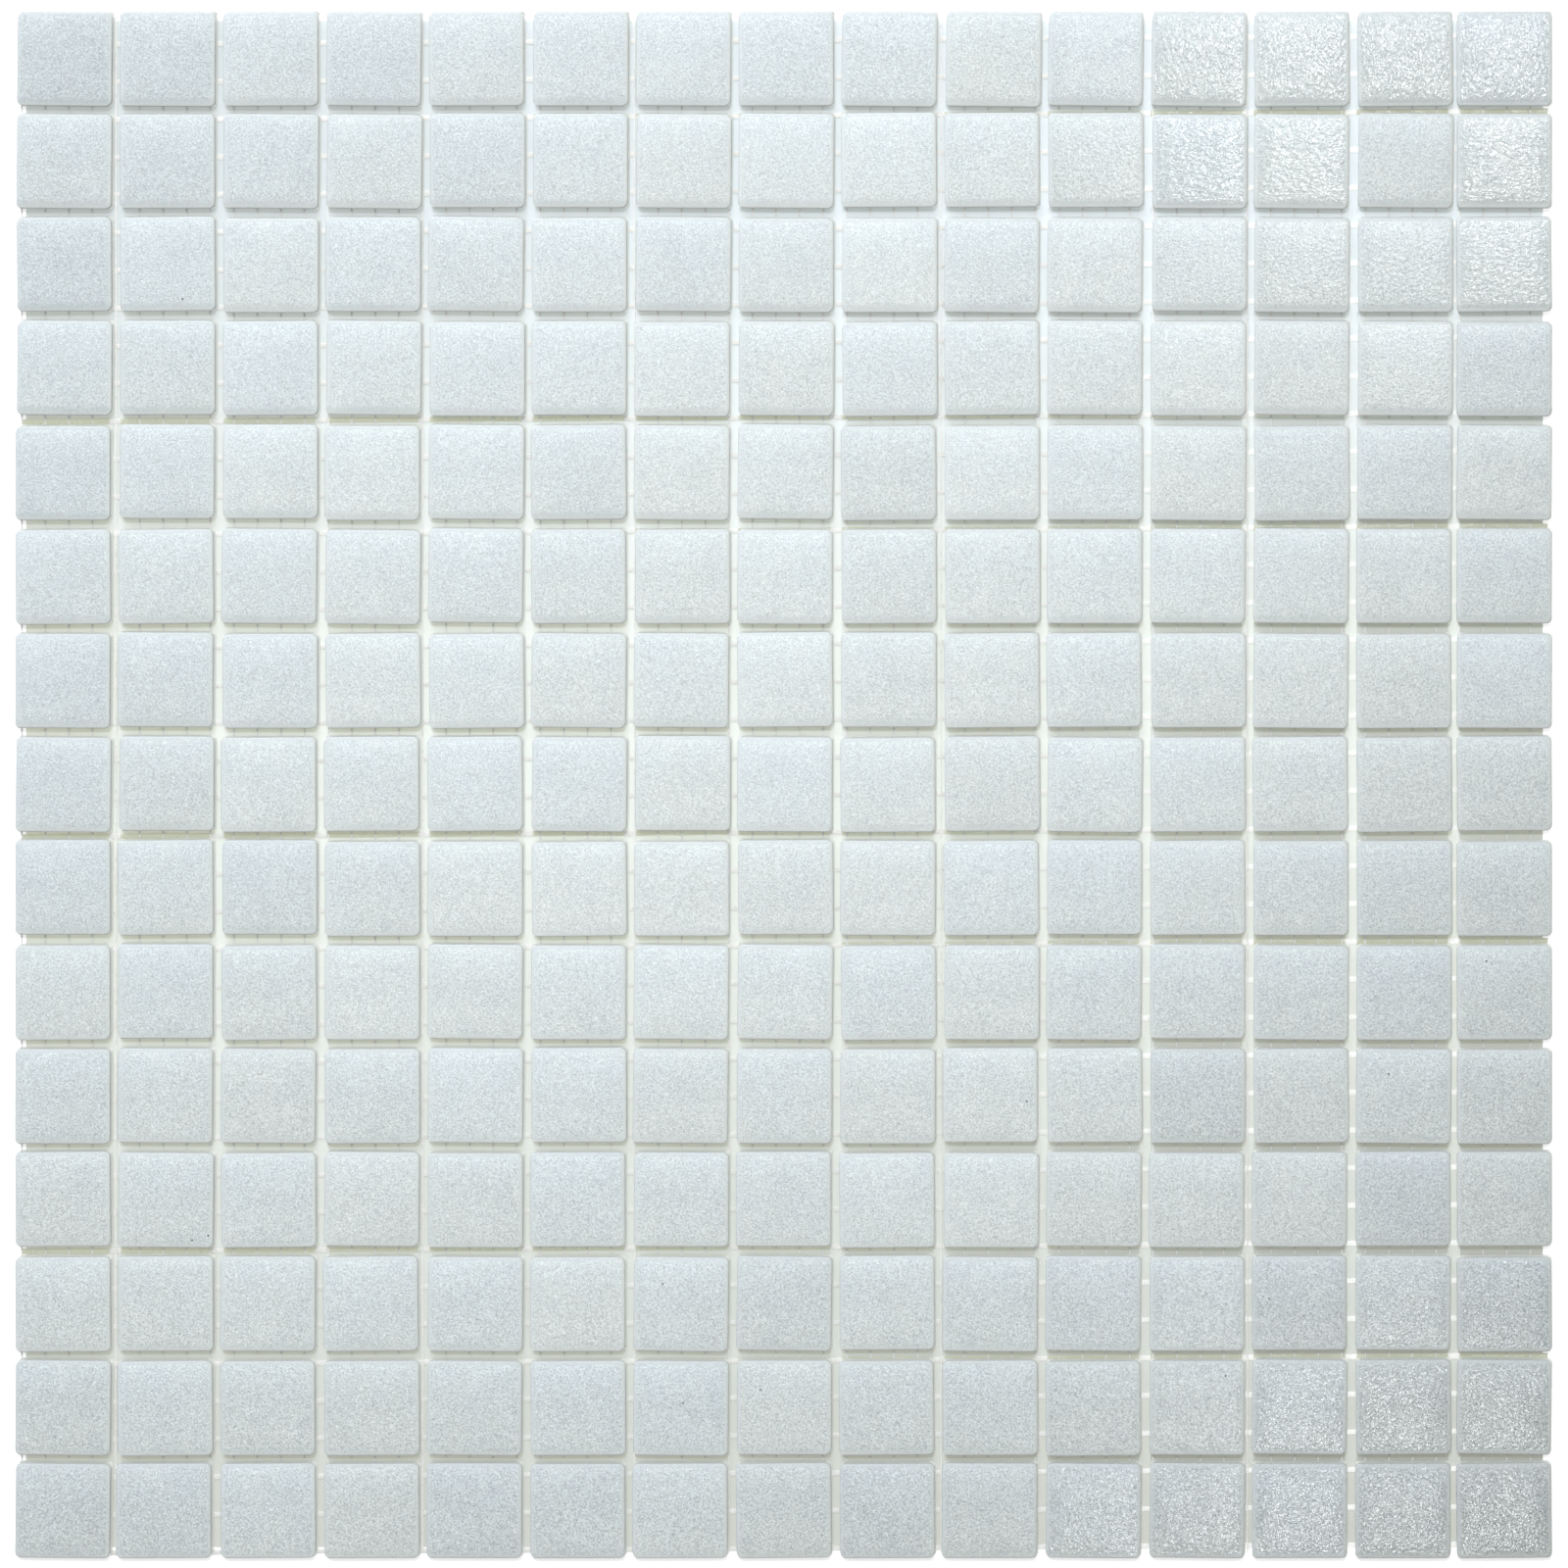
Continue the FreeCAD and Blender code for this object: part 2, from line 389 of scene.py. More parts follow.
def tile_row(number, material, random):
    """One row of tiles as one piece, each tile a little out of true and inside the sheet's box."""
    node = f"tile_row_{number:02d}"
    low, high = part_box(node)
    side = high.y - low.y
    pitch = (high.x - low.x - side) / (COLUMNS - 1)
    centre_y = (low.y + high.y) / 2
    quads = tile_faces()
    points, faces = [], []
    values = {name: [] for name in TILE_VALUES}
    for column in range(1, COLUMNS + 1):
        half = side / 2 - SIDE_ROOM - random.uniform(0, SIDE_SPREAD)
        corner = CORNER_RADIUS + random.uniform(-CORNER_SPREAD, CORNER_SPREAD)
        tile, rim = tile_points(half, corner, low.z, high.z, random)
        tile[:, 0] += np.clip(tile[:, 0] / half, 0, 1) * RIGHT_FULLNESS
        tile[:, 1] += np.clip(tile[:, 1] / half, -1, 0) * LOWER_FULLNESS
        x, y = tile_place(tile, low.x + side / 2 + (column - 1) * pitch, centre_y, random)
        faces.append(quads + sum(len(done) for done in points))
        points.append(np.stack([x, y, tile[:, 2]], -1))
        of_tile = {
            "rim": rim,
            "tone": tile_tone_and_shade(number, column, x.mean(), y.mean(), random),
            "tint": random.uniform(0, 1),
            "shine": tile_shine(number, column, x.mean(), y.mean(), random),
            "rise": tile[:, 1] / half,
            "side": tile[:, 0] / half,
        }
        for name, value in of_tile.items():
            values[name].append(np.broadcast_to(value, len(tile)))
    piece = mesh_object(f"glass_tiles_{number:02d}", np.concatenate(points), np.concatenate(faces),
                        TILE_SHARP_ANGLE)
    for name in TILE_VALUES:
        point_values(piece, name, np.concatenate(values[name]))
    piece.data.materials.append(material)
    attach(piece, "root")
    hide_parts(node)
    return piece


def yarn_section(sides):
    """Across and up, from -1 to 1, for the corners of a yarn's section: round, but flattened."""
    turns = np.arange(sides) * math.tau / sides + math.pi / sides
    across = np.sign(np.cos(turns)) * np.abs(np.cos(turns)) ** YARN_FLATNESS
    up = np.sign(np.sin(turns)) * np.abs(np.sin(turns)) ** YARN_FLATNESS
    return across / np.abs(across).max(), up / np.abs(up).max()


def yarn_faces(index, along):
    """The quads of one yarn, whose points are numbered by station and corner."""
    here, onward = index[:-1], index[1:]
    quads = [here, np.roll(here, -1, 1), np.roll(onward, -1, 1), onward]
    if along == 0:
        quads = quads[::-1]
    faces = [np.stack(quads, -1).reshape(-1, 4)]
    # The two cut ends
    for end, order in ((index[0], -1), (index[-1], 1)):
        cap = end[::order] if along == 1 else end[::-order]
        for part in range(len(cap) // 2 - 1):
            faces.append(np.array([[cap[part], cap[part + 1], cap[-part - 2], cap[-part - 1]]]))
    return np.concatenate(faces)


def yarns(name, material, random, node, width, pitch, step, sides, along, skew):
    """The parallel yarns of one layer of the net, as one piece."""
    low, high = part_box(node)
    across = 1 - along
    thickness = high.z - low.z
    count = round((high[across] - low[across] - width) / pitch) + 1
    steps = round((high[along] - low[along]) / step)
    section_across, section_up = yarn_section(sides)
    stations = np.linspace(low[along], high[along], steps + 1)
    points, faces = [], []
    for number in range(count):
        place = low[across] + width / 2 + number * pitch
        widths = width * (1 - random.uniform(0, YARN_WIDTH_LOSS, steps + 1))
        drift = (width - widths) / 2 * random.uniform(-1, 1, steps + 1)
        drift += skew * stations / high[along]
        heights = thickness * (1 - random.uniform(0, YARN_THICKNESS_LOSS, steps + 1))
        yarn = np.zeros((steps + 1, sides, 3))
        yarn[:, :, along] = stations[:, None]
        yarn[:, :, across] = place + drift[:, None] + widths[:, None] / 2 * section_across
        yarn[:, :, 2] = low.z + thickness / 2 + heights[:, None] / 2 * section_up
        index = np.arange((steps + 1) * sides).reshape(steps + 1, sides)
        faces.append(yarn_faces(index + number * index.size, along))
        points.append(yarn.reshape(-1, 3))
    piece = mesh_object(name, np.concatenate(points), np.concatenate(faces))
    piece.data.materials.append(material)
    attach(piece, "root")
    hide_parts(node)
    return piece


def connect(tree, value, socket):
    """Links a socket, or sets a plain value."""
    if isinstance(value, bpy.types.NodeSocket):
        tree.links.new(value, socket)
    else:
        socket.default_value = value


def add_node(tree, kind, inputs=None, **options):
    """A node with its options set and its inputs, by name or index, linked or set."""
    made = tree.nodes.new(kind)
    for option, value in options.items():
        setattr(made, option, value)
    for key, value in (inputs or {}).items():
        connect(tree, value, made.inputs[key])
    return made


def calculate(tree, operation, first, second=0.0):
    """One step of arithmetic between two numbers."""
    return add_node(tree, "ShaderNodeMath", {0: first, 1: second}, operation=operation).outputs[0]


def plus(tree, first, *others):
    """The sum of some numbers."""
    for other in others:
        first = calculate(tree, "ADD", first, other)
    return first


def minus(tree, first, second):
    """The difference of two numbers."""
    return calculate(tree, "SUBTRACT", first, second)


def times(tree, first, *others):
    """The product of some numbers."""
    for other in others:
        first = calculate(tree, "MULTIPLY", first, other)
    return first


def larger(tree, first, second):
    """The larger of two numbers."""
    return calculate(tree, "MAXIMUM", first, second)


def blend(tree, share, first, second):
    """A colour between two others."""
    made = add_node(tree, "ShaderNodeMix", {0: share, 6: first, 7: second}, data_type="RGBA")
    return made.outputs[2]


def brighten(tree, colour, factor):
    """A colour times a number."""
    made = add_node(tree, "ShaderNodeVectorMath", {0: colour, "Scale": factor}, operation="SCALE")
    return made.outputs[0]


def spread(tree, value, low, high, to_low=0.0, to_high=1.0):
    """The value carried from one range to another, and held at its ends."""
    inputs = {"Value": value, "From Min": low, "From Max": high, "To Min": to_low, "To Max": to_high}
    return add_node(tree, "ShaderNodeMapRange", inputs).outputs[0]


def noise(tree, place, period, detail=2.0, roughness=0.5):
    """Soft noise, from 0 to 1, whose largest patches are about one period across."""
    inputs = {"Vector": place, "Scale": 1 / period, "Detail": detail, "Roughness": roughness}
    return add_node(tree, "ShaderNodeTexNoise", inputs).outputs["Fac"]


def stretched(tree, place, scale):
    """The place with each axis scaled, which draws a noise out along the axes below 1."""
    return add_node(tree, "ShaderNodeMapping", {"Vector": place, "Scale": scale}).outputs[0]


def split(tree, place):
    """The x, y and z of a place."""
    return add_node(tree, "ShaderNodeSeparateXYZ", {0: place}).outputs


def attribute(tree, name):
    """A number that the mesh carries for each point."""
    return add_node(tree, "ShaderNodeAttribute", attribute_name=name).outputs["Fac"]


def specks(tree, place):
    """1 in each dark speck of the skin, and 0 elsewhere."""
    flat = add_node(tree, "ShaderNodeVectorMath", {0: place, 1: (1, 1, 0)}, operation="MULTIPLY").outputs[0]
    nearest = 1.0
    for x, y in SPECKS:
        inputs = {0: flat, 1: (x * MM, y * MM, 0)}
        distance = add_node(tree, "ShaderNodeVectorMath", inputs, operation="DISTANCE").outputs["Value"]
        nearest = calculate(tree, "MINIMUM", distance, nearest)
    return spread(tree, nearest, 0.5 * SPECK_RADIUS, SPECK_RADIUS, 1.0, 0.0)


# How far a joint reaches from its middle, and how soft the edges of the shaded strips in it are
JOINT_REACH = 1.0 * MM
STRIP_EDGE = 0.6 * MM
STRIP_END = 0.4 * MM


def pitch_part(tree, spot, pitch):
    """How far through one pitch a spot is: 0 at the middle of a tile, and 0.5 at that of a joint."""
    return calculate(tree, "FRACT", plus(tree, calculate(tree, "DIVIDE", spot, pitch), ROWS))


def joint_part(tree, spot, pitch, soft):
    """1 in the joints between tiles that are one pitch apart, 0 under the tiles, with soft edges."""
    distance = calculate(tree, "ABSOLUTE", minus(tree, pitch_part(tree, spot, pitch), 0.5))
    reach = JOINT_REACH / pitch
    return spread(tree, distance, reach, reach + soft / pitch, 1.0, 0.0)


def row_joint(tree, across, along):
    """1 in the joints between rows, but 0 where the joints between columns cross them."""
    crossing = joint_part(tree, across, COLUMN_PITCH, STRIP_END)
    return times(tree, joint_part(tree, along, ROW_PITCH, STRIP_EDGE), minus(tree, 1.0, crossing))


def new_material(name):
    """A material with only its output, and the tree, the surface shader and its place in space."""
    material = bpy.data.materials.new(name)
    material.use_nodes = True
    # Its glow, where it has one, is too faint to be worth sampling as a lamp
    material.cycles.emission_sampling = "NONE"
    tree = material.node_tree
    tree.nodes.clear()
    output = tree.nodes.new("ShaderNodeOutputMaterial")
    surface = tree.nodes.new("ShaderNodeBsdfPrincipled")
    tree.links.new(surface.outputs[0], output.inputs["Surface"])
    place = tree.nodes.new("ShaderNodeTexCoord").outputs["Object"]
    return material, tree, surface, place


# Colours, as linear red, green and blue
BLUE_GLASS = (0.624, 0.695, 0.730, 1)
GREEN_GLASS = (0.654, 0.708, 0.702, 1)
RIM_GLASS = (0.670, 0.722, 0.750, 1)
SHADE_OLIVE_GLASS = (0.682, 0.722, 0.690, 1)
SPECK = (0.06, 0.06, 0.06, 1)
# Painted light: a lit and a shaded copy of the wall glass, the first row's outer walls painted darker, and
# the walls' painted glow
LIT_WALL_GLASS = (0.80, 0.83, 0.80, 1)
SHADED_WALL_GLASS = (0.60, 0.64, 0.63, 1)
OUTER_WALL_SHADED_GLASS = (0.38, 0.41, 0.405, 1)
PAINTED_WALL_GLOW = (1.0, 1.0, 0.93, 1)
YARN = (0.98, 0.98, 0.97, 1)
YARN_SHADE = (0.92, 0.92, 0.90, 1)
SHADED_OLIVE_YARN = (0.32, 0.34, 0.27, 1)
OLIVE_SHADE_GLOW_COLOUR = (1.05, 1.08, 0.84, 1)
WHITE = (1, 1, 1, 1)
FLOOR_WHITE = (0.88, 0.88, 0.88, 1)
PAPER_TOP = (0.603, 0.660, 0.728, 1)
SHADED_PAPER_BOTTOM = (0.380, 0.402, 0.432, 1)
TOP_GLOW = (0.98, 1.03, 0.95, 1)
MIDDLE_GLOW = (1.08, 1.06, 0.72, 1)
LOWER_GLOW = (1.02, 1.03, 0.80, 1)

# Where four numbers stand together below, the range between the first two is carried to the range
# between the last two. Two numbers are carried to 0 and 1.

# The sizes of the glass's patches, and how far apart the tiles' places in the noise are
GRAIN_SIZE = 0.45 * MM
FLECK_SIZE = 0.22 * MM
PATCH_SIZE = 4.5 * MM
CLOUD_SIZE = 9.0 * MM
TILE_APART = 10.0

# The band along a tile's lower edge, painted shade of its rounded edge, by height on the tile and on the
# sheet, and the sheet's upper left
BAND_ON_TILE = (-0.80, -0.90)
BAND_ON_SHEET = (-0.05, 0.08, 0.25, 1.0)
UPPER_LEFT = (0.06, 0.28)

# The face's hue, from bluish at 0 to greenish at 1. Bluer towards each tile's top is a painted light
# colour, that of the light from above.
PATCH_HUE = (0.3, 0.7, 0.35, 0.85)
TINT_HUE = (0.0, 1.0, -0.25, 0.25)
LIGHT_HUE_BY_RISE = 0.3
UPPER_LEFT_HUE = 0.45

# The face's speckle: how much paler or darker it makes the face, and where it is calmer or coarser
GRAIN_LEVEL = (0.2, 0.8, -0.19, 0.19)
FLECK_LEVEL = (0.0, 1.0, -0.19, 0.19)
RIM_CALM = (0.0, 1.0, 1.0, 0.7)
BAND_CALM = (0.0, 1.0, 1.0, 0.5)
UPPER_LEFT_CALM = 0.08
LOWER_COARSENESS = 1.2

# How much paler or darker the other things make the face. The sheen, lean and lip are painted light: a
# painted sheen and highlight near each face's top edge, with each face painted paler upwards and to the
# left. Shinier tiles are a little darker.
CLOUD_LEVEL = (0.3, 0.7, -0.02, 0.02)
TONE_AND_SHADE_LEVEL = 0.02
PAINTED_SHEEN_POWER = 1.3
PAINTED_SHEEN_LEVEL = 0.10
PAINTED_LEAN_LEVEL = 0.012
PAINTED_LIP_HIGHLIGHT = (0.80, 0.95, 0.0, 0.04)
SHINE_LEVEL = 0.01

# The edge: where it turns olive towards the +X and -Y sides, away from the lamps, as painted shade colour;
# how much of the tile's tone and painted shade it takes; and its painted shades, darker at the top edge and
# in the band
SHADE_SIDE_OLIVE = (0.88, 0.98)
EDGE_TONE_AND_SHADE = 0.4
EDGE_PART = (0.3, 1.0, 0.0, 0.5)
UPPER_EDGE_SHADE = (0.90, 0.99, 1.0, 0.84)
BAND_SHADE = (0.0, 1.0, 1.0, 0.90)

# The wall: its height, which walls are the +X and +Y ones, how near the sheet's end the first row's are,
# and the strength of the painted glow at the +X and the +Y side, which stands in for light through the
# glass
WALL_PART = (2.0 * MM, 3.7 * MM, 1.0, 0.0)
FOREMOST = (0.90, 0.98)
OUTER_WALL = (1.2 * MM, 0.7 * MM)
PAINTED_WALL_GLOW_STRENGTH = (0.24, 0.15)

# The skin's relief, coarser the shinier a tile is. Its ripples are drawn out along the row, but upright
# in the first row.
SKIN_DEPTH = 0.075 * MM
RIPPLE_SIZE = 0.85 * MM
RIPPLE_STRETCH = 0.62
RIPPLE_DEPTH = (0.75, 0.95, 0.0, 2.3)
FIRST_ROW = (0.1425, 0.1435)
DIMPLE_SIZE = 0.7 * MM
DIMPLE_DEPTH = (0.25, 0.45, 0.0, 1.3)
DIMPLE_FADE = (0.75, 0.95, 1.0, 0.3)
PIT_SIZE = 0.45 * MM
PIT_DEPTH = (0.25, 0.6, 1.08, 0.1)
RIM_SMOOTHNESS = (0.2, 1.0, 0.0, 0.5)
BAND_SMOOTHNESS = 0.85
RELIEF_STRENGTH = (0.0, 1.0, 0.95, 0.0)
SHINE_ROUGHNESS = (0.1, 0.6, 0.45, 0.10)
RIM_ROUGHNESS = (0.4, 0.9, 0.1, 0.45)
GLASS_IOR = 1.5


def tile_spot(tree, place):
    """All that the glass depends on at one spot of a tile."""
    spot = {name: attribute(tree, name) for name in TILE_VALUES}
    across, spot["along"], spot["height"] = split(tree, place)
    spot["place"] = place
    # Each tile has a patch of the noise to itself
    apart = add_node(tree, "ShaderNodeCombineXYZ", {"Z": times(tree, spot["tint"], TILE_APART)}).outputs[0]
    own_place = add_node(tree, "ShaderNodeVectorMath", {0: place, 1: apart}, operation="ADD")
    spot["own_place"] = own_place.outputs[0]
    # Each tile of the sheet's upper part has a smooth band along its lower edge, painted slightly darker as
    # painted shade
    spot["band"] = times(tree, spread(tree, spot["rise"], *BAND_ON_TILE),
                         spread(tree, spot["along"], *BAND_ON_SHEET))
    spot["upper_left"] = spread(tree, minus(tree, spot["along"], across), *UPPER_LEFT)
    spot["tone_part"] = times(tree, spot["tone"], TONE_AND_SHADE_LEVEL)
    return spot


def face_hue(tree, spot):
    """The face's two hues, in patches, from tile to tile, bluer towards each tile's top as a painted light
    colour, and in the sheet's upper left.
    """
    patches = noise(tree, spot["own_place"], PATCH_SIZE, 3.0, 0.6)
    hue = plus(tree, spread(tree, patches, *PATCH_HUE), spread(tree, spot["tint"], *TINT_HUE))
    # Painted light colour: bluer towards the top of each tile, greener towards its shaded bottom
    hue = minus(tree, hue, times(tree, spot["rise"], LIGHT_HUE_BY_RISE))
    hue = minus(tree, hue, times(tree, spot["upper_left"], UPPER_LEFT_HUE))
    return blend(tree, hue, BLUE_GLASS, GREEN_GLASS)


def speckle(tree, spot):
    """Grain and flecks: calmer at the rim, in the band and in the upper left, coarser in the lower part."""
    grain = noise(tree, spot["own_place"], GRAIN_SIZE, 3.0, 0.6)
    cells = {"Vector": spot["own_place"], "Scale": 1 / FLECK_SIZE}
    flecks = add_node(tree, "ShaderNodeTexVoronoi", cells).outputs["Color"]
    fleck = add_node(tree, "ShaderNodeSeparateColor", {"Color": flecks}).outputs["Red"]
    level = plus(tree, spread(tree, grain, *GRAIN_LEVEL), spread(tree, fleck, *FLECK_LEVEL))
    calm = times(tree, spread(tree, spot["rim"], *RIM_CALM), spread(tree, spot["band"], *BAND_CALM))
    coarser = spread(tree, spot["along"], cad_bounds[0].y, 0.0, LOWER_COARSENESS, 1.0)
    coarser = minus(tree, coarser, times(tree, spot["upper_left"], UPPER_LEFT_CALM))
    return times(tree, level, calm, coarser)


def face_level(tree, spot):
    """How much paler than its hue the face is: speckle, clouds, the tile's tone and painted shade, and
    painted light, paler upwards and to the left with a painted sheen near the top edge.
    """
    rise, side = spot["rise"], spot["side"]
    clouds = noise(tree, spot["own_place"], CLOUD_SIZE, 2.0, 0.5)
    # Painted light: a sheen towards the top edge, each face paler upwards and to the left, and a highlight
    # just inside the top edge
    painted_sheen = times(tree, calculate(tree, "POWER", spread(tree, rise, 0.0, 1.0), PAINTED_SHEEN_POWER), PAINTED_SHEEN_LEVEL)
    painted_light_and_shine = plus(tree, times(tree, side, -PAINTED_LEAN_LEVEL), times(tree, rise, PAINTED_LEAN_LEVEL))
    painted_light_and_shine = plus(tree, painted_light_and_shine, spread(tree, rise, *PAINTED_LIP_HIGHLIGHT))
    painted_light_and_shine = minus(tree, painted_light_and_shine, times(tree, spot["shine"], SHINE_LEVEL))
    level = plus(tree, speckle(tree, spot), spread(tree, clouds, *CLOUD_LEVEL), spot["tone_part"])
    return plus(tree, level, plus(tree, painted_sheen, painted_light_and_shine))


def skin_colour(tree, spot):
    """The face, and towards its edge a smoother skin, olive towards the +X and -Y sides as painted shade
    colour; the top edge and the band are painted darker, as painted shade.
    """
    face = brighten(tree, face_hue(tree, spot), plus(tree, face_level(tree, spot), 1.0))
    # Painted shade colour: olive on the +X and -Y sides, which face away from the lamps
    shade_side = larger(tree, spot["side"], times(tree, spot["rise"], -1.0))
    edge_glass = blend(tree, spread(tree, shade_side, *SHADE_SIDE_OLIVE), RIM_GLASS, SHADE_OLIVE_GLASS)
    edge_glass = brighten(tree, edge_glass, plus(tree, times(tree, spot["tone_part"], EDGE_TONE_AND_SHADE), 1.0))
    skin = blend(tree, spread(tree, spot["rim"], *EDGE_PART), face, edge_glass)
    # Painted shade: the top edge darker, which tones down the lamps' strong light on it
    skin = brighten(tree, skin, spread(tree, spot["rise"], *UPPER_EDGE_SHADE))
    # Painted shade: the band along the lower edge darker
    skin = brighten(tree, skin, spread(tree, spot["band"], *BAND_SHADE))
    return blend(tree, specks(tree, spot["place"]), skin, SPECK)


def colour_tile(tree, surface, spot):
    """The skin and the walls. The +X and +Y walls are painted paler, a lit copy of the shaded wall glass,
    and have a painted glow for light through the glass; the first row's +Y walls are painted darker.
    """
    wall = spread(tree, spot["height"], *WALL_PART)
    foremost = spread(tree, larger(tree, spot["rise"], spot["side"]), *FOREMOST)
    wall_glass = blend(tree, foremost, SHADED_WALL_GLASS, LIT_WALL_GLASS)
    # Nothing shades the first row's +Y walls, at the end of the sheet, so they are painted darker glass
    # without glow: painted shade
    outer_start, outer_full = (cad_bounds[1].y - reach for reach in OUTER_WALL)
    outer = spread(tree, spot["along"], outer_start, outer_full)
    wall_glass = blend(tree, outer, wall_glass, OUTER_WALL_SHADED_GLASS)
    connect(tree, blend(tree, wall, skin_colour(tree, spot), wall_glass), surface.inputs["Base Color"])
    surface.inputs["Emission Color"].default_value = PAINTED_WALL_GLOW
    lift = spread(tree, spot["side"], *FOREMOST, PAINTED_WALL_GLOW_STRENGTH[1], PAINTED_WALL_GLOW_STRENGTH[0])
    lift = times(tree, wall, foremost, lift, minus(tree, 1.0, outer))
    connect(tree, lift, surface.inputs["Emission Strength"])


def skin_relief(tree, spot):
    """Fine pits, and in their place dimples and drawn ripples where a tile is shiny."""
    along_row = stretched(tree, spot["own_place"], (RIPPLE_STRETCH, 1.0, 1.0))
    upright = stretched(tree, spot["own_place"], (1.0, RIPPLE_STRETCH, 1.0))
    first_row = spread(tree, spot["along"], *FIRST_ROW)
    drawn = add_node(tree, "ShaderNodeMix", {0: first_row, 4: along_row, 5: upright}, data_type="VECTOR")
    ripples = noise(tree, drawn.outputs[1], RIPPLE_SIZE, 2.0, 0.5)
    dimples = noise(tree, spot["own_place"], DIMPLE_SIZE, 1.0, 0.5)
    pits = noise(tree, spot["own_place"], PIT_SIZE, 1.5, 0.5)
    shine = spot["shine"]
    ripple_part = times(tree, ripples, spread(tree, shine, *RIPPLE_DEPTH))
    dimple_part = times(tree, dimples, spread(tree, shine, *DIMPLE_DEPTH),
                        spread(tree, shine, *DIMPLE_FADE))
    pit_part = times(tree, pits, spread(tree, shine, *PIT_DEPTH))
    return plus(tree, pit_part, plus(tree, ripple_part, dimple_part))


def tile_glass():
    """Opaque pale pressed glass: fine speckle, bluish and greenish patches, smooth greener edges, and
    painted light and shade.
    """
    material, tree, surface, place = new_material("tile_glass")
    spot = tile_spot(tree, place)
    colour_tile(tree, surface, spot)
    smooth = larger(tree, spread(tree, spot["rim"], *RIM_SMOOTHNESS),
                    times(tree, spot["band"], BAND_SMOOTHNESS))
    bump = add_node(tree, "ShaderNodeBump", {"Distance": SKIN_DEPTH, "Height": skin_relief(tree, spot)})
    connect(tree, spread(tree, smooth, *RELIEF_STRENGTH), bump.inputs["Strength"])
    connect(tree, bump.outputs[0], surface.inputs["Normal"])
    dull = larger(tree, spread(tree, spot["shine"], *SHINE_ROUGHNESS),
                  spread(tree, spot["rim"], *RIM_ROUGHNESS))
    connect(tree, dull, surface.inputs["Roughness"])
    surface.inputs["IOR"].default_value = GLASS_IOR
    return material


# The yarns' fibres and glue, then the wefts: their upper side, a painted highlight glow in the sheet's
# right part, and between rows a painted olive shade with a painted glow of its own
FIBRE_SIZE = 0.12 * MM
FIBRE_STRETCH = 0.05
FIBRE_SHADE = (0.35, 0.65)
FIBRE_DEPTH = 0.04 * MM
FIBRE_STRENGTH = 0.8
GLUE_SIZE = 3.0 * MM
GLUE_ROUGHNESS = (0.45, 0.6, 0.5, 0.2)
YARN_TRANSMISSION = 0.1
YARN_SPECULAR = 1.0
WEFT_TOP = (0.08 * MM, 0.14 * MM)
WEFT_PAINTED_HIGHLIGHT = (0.04, 0.10, 0.0, 0.14)
OLIVE_SHADE_GLOW = (0.0, 0.12, 0.27, 0.23)


def painted_weft_light(tree, surface, place, colour):
    """The wefts get a painted highlight glow in the sheet's right part, and between rows a painted olive
    shade with a painted glow.
    """
    across, along, height = split(tree, place)
    shaded_between = times(tree, row_joint(tree, across, along), spread(tree, height, *WEFT_TOP))
    connect(tree, blend(tree, shaded_between, WHITE, OLIVE_SHADE_GLOW_COLOUR), surface.inputs["Emission Color"])
    painted_highlight, shade_glow = spread(tree, across, *WEFT_PAINTED_HIGHLIGHT), spread(tree, across, *OLIVE_SHADE_GLOW)
    lift = add_node(tree, "ShaderNodeMix", {0: shaded_between, 2: painted_highlight, 3: shade_glow}).outputs[0]
    connect(tree, lift, surface.inputs["Emission Strength"])
    return blend(tree, shaded_between, colour, SHADED_OLIVE_YARN)


def yarn_fibre(name, along):
    """Cream glass-fibre yarn: fine fibres along its length, and patches stiffened by clear glue."""
    material, tree, surface, place = new_material(name)
    stretch = [1.0, 1.0, 1.0]
    stretch[along] = FIBRE_STRETCH
    fibres = noise(tree, stretched(tree, place, stretch), FIBRE_SIZE, 3.0, 0.6)
    glue = noise(tree, place, GLUE_SIZE, 2.0, 0.5)
    colour = blend(tree, spread(tree, fibres, *FIBRE_SHADE), YARN_SHADE, YARN)
    if along == 0:
        # Painted light on the wefts: a highlight glow in the right part, and olive shade with a glow
        # between rows
        colour = painted_weft_light(tree, surface, place, colour)
    connect(tree, colour, surface.inputs["Base Color"])
    bump = add_node(tree, "ShaderNodeBump",
                    {"Strength": FIBRE_STRENGTH, "Distance": FIBRE_DEPTH, "Height": fibres})
    connect(tree, bump.outputs[0], surface.inputs["Normal"])
    connect(tree, spread(tree, glue, *GLUE_ROUGHNESS), surface.inputs["Roughness"])
    surface.inputs["Transmission Weight"].default_value = YARN_TRANSMISSION
    surface.inputs["Specular IOR Level"].default_value = YARN_SPECULAR
    return material


# How much light of its own the floor shows to the eye, in the open and under the sheet. Under the sheet it
# is painted light, which lifts the shade in the joints.
FLOOR_LIFT = 0.55
PAPER_LIFT = 0.315
FLOOR_ROUGHNESS = 0.9

# How far inside the sheet's box the paper starts, and how it differs in the sheet's upper left, where it is
# painted shade, darker but with more painted glow
PAPER_INSET = 2.0 * MM
PAPER_UPPER_LEFT = (0.08, 0.28)
PAPER_UPPER_LEFT_SHADE = (0.0, 1.0, 1.0, 0.70)
PAPER_UPPER_LEFT_LIFT = 1.08

# Where along the sheet the paper's painted glow changes colour
TO_MIDDLE_GLOW = (-0.11, -0.03)
TO_TOP_GLOW = (0.03, 0.12)

